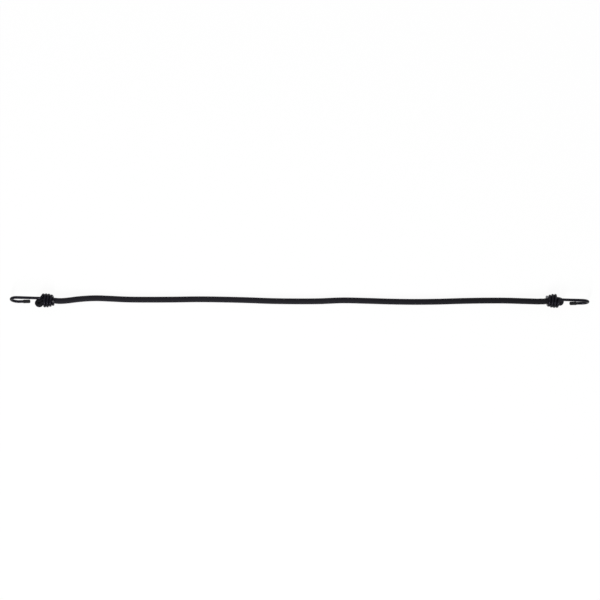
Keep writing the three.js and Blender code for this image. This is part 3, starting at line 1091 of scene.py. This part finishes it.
def hook_line(end):
    """The whole wire in the hook's own axes, and its thickness at each point against the coil's."""
    bend_x = bend_start(end)
    arm_x = np.linspace(cap_tip(end) + CAP_CROWN + CAP_GAP, bend_x, STRAIGHT_STEPS)
    arm = np.stack([arm_x, arm_side(end, arm_x), np.full(STRAIGHT_STEPS, ARM_HEIGHT)], axis=1)
    angle = np.linspace(-math.pi / 2, math.pi / 2, BEND_STEPS)
    around_x = bend_x + BEND_REACH * np.cos(angle)
    bend = np.stack(
        [around_x, shank_side(end, around_x), BEND_HEIGHT + ARM_SPREAD / 2 * np.sin(angle)], axis=1
    )
    shank_x = np.linspace(bend_x, SHANK_START, STRAIGHT_STEPS)
    shank = np.stack([shank_x, shank_side(end, shank_x), np.full(STRAIGHT_STEPS, COIL_RADIUS)], axis=1)
    coil = coil_line()
    handles = [
        shank[-1],
        shank[-1] + LEAD_HANDLE * unit(shank[-1] - shank[0]),
        coil[0] - LEAD_HANDLE * unit(coil[1] - coil[0]),
        coil[0],
    ]
    t = np.linspace(0.0, 1.0, LEAD_STEPS)[:, None]
    weights = [(1 - t) ** 3, 3 * t * (1 - t) ** 2, 3 * t**2 * (1 - t), t**3]
    lead = sum(weight * handle for weight, handle in zip(weights, handles))
    way_out = unit(coil[-1] - coil[-2])
    stub = coil[-1] + way_out * (2 * WIRE_RADIUS - SHEAR_REACH)
    cut = coil[-1] + way_out * (2 * WIRE_RADIUS)
    line = np.concatenate([arm[:-1], bend[:-1], shank[:-1], lead[:-1], coil, [stub, cut]])
    down_shank = ease(line[:, 0], SHANK_START, bend_x)
    down_shank[:len(arm) + len(bend) - 2] = 1.0
    scale = 1.0 + down_shank * COAT_POOL / (WIRE_RADIUS + COAT_THICKNESS)
    scale[-1] = SHEAR_SCALE
    return line, scale


for end in (LEFT, RIGHT):
    wire_length = lengths_along(hook_line(end)[0])[-1]
    print(end["name"], "hook's wire, mm:", round(1000 * wire_length, 1))

# %% Bend the two wires
WIRE_SIDES = 28


def hook_place(end):
    """The matrix from a hook's own axes to the frame's."""
    turn = math.pi if end["facing"] < 0 else 0.0
    return (
        Matrix.Translation(mouth(end))
        @ Matrix.Rotation(math.radians(end["roll"]), 4, "X")
        @ Matrix.Rotation(turn, 4, "Z")
    )


def placed(points, matrix):
    """Points moved by a matrix."""
    turn = np.array(matrix.to_3x3())
    return points @ turn.T + np.array(matrix.translation)


def bent_wire(end):
    """One hook's wire, its underside level with the floor and its last face bare steel."""
    own_line, wire_scale = hook_line(end)
    line = placed(own_line, hook_place(end))
    coated_radius = WIRE_RADIUS + COAT_THICKNESS
    wire = sweep(f"{end['name']}_wire", [line], [wire_scale], coated_radius, WIRE_SIDES, black_coating)
    wire.data.materials.append(cut_steel)
    rest_on_floor(wire)
    cut_centre = Vector(line[-1])
    for face in wire.data.polygons:
        if face.loop_total > SIDE_CORNERS and (face.center - cut_centre).length < WIRE_RADIUS:
            face.material_index = 1
    return wire


left_wire = bent_wire(LEFT)
right_wire = bent_wire(RIGHT)
for piece in (left_wire, right_wire):
    print(piece.name, "faces:", len(piece.data.polygons))

# %% [markdown]
# ## Vinyl caps
# A dipped vinyl cap closes the tip of each hook. It is a thin sleeve with a rounded end, a soft bead at its
# open rim, and a shallow waist where it shrinks onto the wire past the cut tip. Turning one outline about
# the arm gives all of that, with the wall's inside as part of the same outline.

# %% Mix the vinyl
VINYL = (0.005, 0.0048, 0.0062, 1.0)
VINYL_WORN = (0.011, 0.0105, 0.0125, 1.0)
VINYL_BUMP = 0.00004

soft_vinyl, bench, shader = new_material("soft_vinyl")
here = bench.node("ShaderNodeTexCoord", output="Object")
skin_grain = noise(bench, here, scale=2400.0, detail=3.0)
handling = noise(bench, here, scale=260.0, detail=4.0, roughness=0.65)
vinyl_finish = {
    "Base Color": mixed(bench, handling, VINYL, VINYL_WORN),
    "Roughness": 0.46 + 0.16 * handling + 0.08 * skin_grain,
    "Normal": bumped(bench, 0.6 * skin_grain + 0.4 * handling, VINYL_BUMP),
    "Specular IOR Level": 0.12,
}
bench.feed(shader, vinyl_finish)
print("material:", soft_vinyl.name)

# %% Draw the cap's outline
CAP_LENGTH = 0.0106
CAP_WALL = 0.00058
CAP_ROUND = 0.0019
CAP_END_STEPS = 4
CAP_ROUND_STEPS = 9
CAP_SIDE_STEPS = 19
CAP_RIM_STEPS = 8
CAP_RIM = 0.0004
CAP_BEAD = 0.00008
CAP_BEAD_INSET = 0.0006
CAP_BEAD_REACH = 0.0005
CAP_WAIST = 0.00008
CAP_WAIST_PLACE = 0.0062
CAP_WAIST_REACH = 0.002
CAP_BORE_PLACES = (0.007, 0.004, 0.0014)
CAP_BORE_ROUND = 0.0005
CAP_BORE = WIRE_RADIUS + COAT_THICKNESS + COAT_POOL
CAP_OUTER = WIRE_RADIUS + COAT_POOL + CAP_GAP + CAP_WALL


def cap_outline():
    """Distances along a cap and from its axis, from the closed end's middle round to the inside."""
    outline = []
    flat = CAP_OUTER - CAP_ROUND
    rim_start = CAP_LENGTH - CAP_RIM
    for i in range(CAP_END_STEPS + 1):
        outline.append((0.0, flat * i / CAP_END_STEPS))
    for i in range(1, CAP_ROUND_STEPS + 1):
        angle = math.pi / 2 * i / CAP_ROUND_STEPS
        outline.append((CAP_ROUND * (1 - math.cos(angle)), flat + CAP_ROUND * math.sin(angle)))
    for i in range(1, CAP_SIDE_STEPS + 1):
        x = CAP_ROUND + (rim_start - CAP_ROUND) * i / CAP_SIDE_STEPS
        waist = CAP_WAIST * math.exp(-(((x - CAP_WAIST_PLACE) / CAP_WAIST_REACH) ** 2))
        bead = CAP_BEAD * math.exp(-(((x - CAP_LENGTH + CAP_BEAD_INSET) / CAP_BEAD_REACH) ** 2))
        outline.append((x, CAP_OUTER - waist + bead))
    middle = (CAP_OUTER + CAP_BORE) / 2
    half_wall = (CAP_OUTER - CAP_BORE) / 2
    for i in range(1, CAP_RIM_STEPS):
        angle = math.pi * i / CAP_RIM_STEPS
        outline.append((rim_start + CAP_RIM * math.sin(angle), middle + half_wall * math.cos(angle)))
    for x in (rim_start, *CAP_BORE_PLACES):
        outline.append((x, CAP_BORE))
    outline.append((CAP_CROWN, CAP_BORE - CAP_BORE_ROUND))
    outline.append((CAP_CROWN, 0.0))
    return outline


print("cap, mm:", round(2000 * CAP_OUTER, 2), "across and", 1000 * CAP_LENGTH, "long")

# %% Turn the two caps
CAP_SIDES = 40
MERGE_DISTANCE = 1e-7


def vinyl_cap(end):
    """One cap, turned about the hook's arm."""
    name = f"{end['name']}_cap"
    mesh = bpy.data.meshes.new(name)
    work = bmesh.new()
    edge = [work.verts.new((x, 0.0, r)) for x, r in cap_outline()]
    for a, b in zip(edge, edge[1:]):
        work.edges.new((a, b))
    bmesh.ops.spin(
        work,
        geom=work.verts[:] + work.edges[:],
        axis=(1, 0, 0),
        cent=(0, 0, 0),
        steps=CAP_SIDES,
        angle=math.tau,
    )
    bmesh.ops.remove_doubles(work, verts=work.verts[:], dist=MERGE_DISTANCE)
    bmesh.ops.recalc_face_normals(work, faces=work.faces[:])
    on_arm = Matrix.Translation((cap_tip(end), arm_side(end, cap_tip(end)), ARM_HEIGHT))
    along_arm = Matrix.Rotation(-math.radians(ARM_SKEW), 4, "Z")
    bmesh.ops.transform(work, matrix=hook_place(end) @ on_arm @ along_arm, verts=work.verts[:])
    for face in work.faces:
        face.smooth = True
    work.to_mesh(mesh)
    work.free()
    mesh.materials.append(soft_vinyl)
    return into_scene(name, mesh)


left_cap = vinyl_cap(LEFT)
right_cap = vinyl_cap(RIGHT)
for piece in (left_cap, right_cap):
    print(piece.name, "faces:", len(piece.data.polygons))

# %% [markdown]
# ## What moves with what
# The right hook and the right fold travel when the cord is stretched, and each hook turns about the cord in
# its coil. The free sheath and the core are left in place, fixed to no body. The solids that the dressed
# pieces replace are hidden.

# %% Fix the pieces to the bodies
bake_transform(cord_braid)
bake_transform(rubber_core)
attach(left_fold_braid, "cord")
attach(right_fold_braid, "right_cord_end")
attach(left_wire, "left_hook")
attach(left_cap, "left_hook")
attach(right_wire, "right_hook")
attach(right_cap, "right_hook")

# %% Hide the solids that the pieces replace
THREAD_NODES = [f"rubber_thread_{k}" for k in range(1, 8)]

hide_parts("cord_sheath")
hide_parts("left_fold_sheath")
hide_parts("right_fold_sheath")
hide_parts(*THREAD_NODES)
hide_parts("left_hook_wire")
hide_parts("right_hook_wire")
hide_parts("left_tip_cap")
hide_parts("right_tip_cap")

print("threads in the solid model:", len(THREAD_NODES))

# %% Count the places along the soft cord
PATH_SKIP = 12

[tuple(point) for point in free_points[::PATH_SKIP]] + [RIGHT_MOUTH]
print("places along the cord:", len(free_points[::PATH_SKIP]) + 1)

# %% [markdown]
# ## The size rule
# The dressed object has to fill the same box as the solids. Both boxes are written down here, to be compared
# after each run.

# %% Work out both boxes and finish
bpy.context.view_layer.update()
boxes = {
    "cad": [list(corner) for corner in CAD_BOX],
    "visual": [list(corner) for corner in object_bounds()],
}
print("visual model, mm:", [round(1000 * (b - a), 1) for a, b in zip(*boxes["visual"])])
